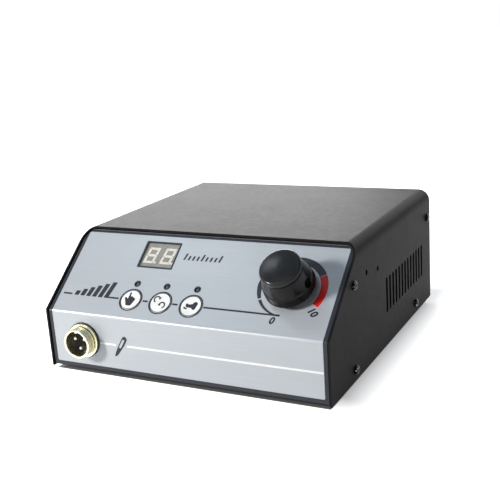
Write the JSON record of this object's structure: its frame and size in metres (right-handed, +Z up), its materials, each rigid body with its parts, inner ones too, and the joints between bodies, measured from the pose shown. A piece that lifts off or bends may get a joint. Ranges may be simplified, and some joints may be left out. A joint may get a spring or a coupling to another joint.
{
  "type": "dental micromotor control unit",
  "caption": "Bench-top control box of a dental micromotor, with a slanted front, digital display, round keys, speed knob and round handpiece socket.",
  "frame": {"origin": "on the bench, under the middle of the overall box", "axes": "+X to the right seen from the front, +Y from the front to the rear, +Z up"},
  "size_m": [0.2036, 0.2202, 0.0882],
  "materials": {
    "cover_black": "fine textured black powder coat",
    "panel_black": "satin black paint",
    "screw_bright": "bright zinc",
    "screw_black": "blackened steel",
    "foot_rubber": "matte",
    "film_silver": "brushed silver print under a satin film",
    "window_clear": "clear film window",
    "display_grey": "matte grey display face",
    "segment_white": "translucent white resin",
    "board_green": "green solder mask",
    "brass": "turned",
    "key_white": "satin white",
    "switch_plastic": "matte black",
    "plunger_plastic": "matte",
    "lamp_resin": "clear resin",
    "knob_black": "satin black",
    "steel": "zinc plated",
    "socket_metal": "nickel plated",
    "socket_rubber": "matte",
    "insulator_black": "matte",
    "contact_metal": "silver plated",
    "housing_black": "moulded",
    "rocker_red": "moulded red",
    "fuse_glass": "clear",
    "core_steel": "varnished laminations",
    "coil_tape": "yellow tape",
    "capacitor_sleeve": "printed sleeve",
    "relay_blue": "moulded",
    "header_white": "moulded",
    "sink_aluminium": "extruded"
  },
  "bodies": {
    "case": {"top_cover": "cover_black", "chassis": "panel_black", "clinch_nuts": "steel", "front_cover_screws": "screw_black", "rear_cover_screws": "screw_black", "rubber_feet": "foot_rubber", "bottom_screws": "screw_bright", "screw_nuts": "steel", "front_film": "film_silver", "display_window": "window_clear", "display_module": "display_grey", "display_segments": "segment_white", "display_board": "board_green", "display_pillars": "brass", "key_switches": "switch_plastic", "indicator_lamps": "lamp_resin", "pot_body": "steel", "pot_washer": "steel", "pot_nut": "steel", "socket_shell": "socket_metal", "socket_washer": "socket_rubber", "socket_nut": "socket_metal", "socket_insert": "insulator_black", "socket_contacts": "contact_metal", "power_inlet": "housing_black", "inlet_blades": "contact_metal", "inlet_screws": "screw_bright", "switch_housing": "housing_black", "switch_tabs": "contact_metal", "fuse_holder": "housing_black", "fuse_nut": "housing_black", "pedal_jack": "housing_black", "pedal_jack_nut": "steel", "transformer_core": "core_steel", "transformer_coil": "coil_tape", "transformer_strap": "steel", "main_board": "board_green", "main_pillars": "brass", "board_screws": "screw_bright", "smoothing_capacitors": "capacitor_sleeve", "bridge_rectifier": "insulator_black", "relay": "relay_blue", "board_headers": "header_white", "heat_sink": "sink_aluminium", "power_transistors": "insulator_black"},
    "knob": {"speed_knob": "knob_black", "knob_cap": "knob_black", "knob_set_screw": "screw_black", "pot_shaft": "brass"},
    "hand_key": {"key_hand": "key_white", "plunger_hand": "plunger_plastic"},
    "direction_key": {"key_direction": "key_white", "plunger_direction": "plunger_plastic"},
    "foot_key": {"key_foot": "key_white", "plunger_foot": "plunger_plastic"},
    "rocker": {"switch_rocker": "rocker_red"},
    "fuse_holder_cap": {"fuse_cap": "housing_black", "fuse": "fuse_glass"}
  },
  "joints": [
    {"name": "knob_turn", "type": "hinge", "parent": "case", "child": "knob", "pos_m": [0.0665, -0.07552, 0.06274], "axis": [0, 0.6314, -0.7754], "range_deg": [0, 290]},
    {"name": "hand_key_press", "type": "slide", "parent": "case", "child": "hand_key", "axis": [0, 0.6314, -0.7754], "range_m": [0, 0.0005], "stiffness_N_per_m": 400, "springref_m": -0.003},
    {"name": "direction_key_press", "type": "slide", "parent": "case", "child": "direction_key", "axis": [0, 0.6314, -0.7754], "range_m": [0, 0.0005], "stiffness_N_per_m": 400, "springref_m": -0.003},
    {"name": "foot_key_press", "type": "slide", "parent": "case", "child": "foot_key", "axis": [0, 0.6314, -0.7754], "range_m": [0, 0.0005], "stiffness_N_per_m": 400, "springref_m": -0.003},
    {"name": "rocker_tilt", "type": "hinge", "parent": "case", "child": "rocker", "pos_m": [0.018, 0.10155, 0.041], "axis": [1, 0, 0], "range_deg": [0, 22]},
    {"name": "fuse_cap_turn", "type": "hinge", "parent": "case", "child": "fuse_holder_cap", "pos_m": [-0.014, 0.10205, 0.041], "axis": [0, 1, 0], "range_deg": [0, 45]}
  ]
}
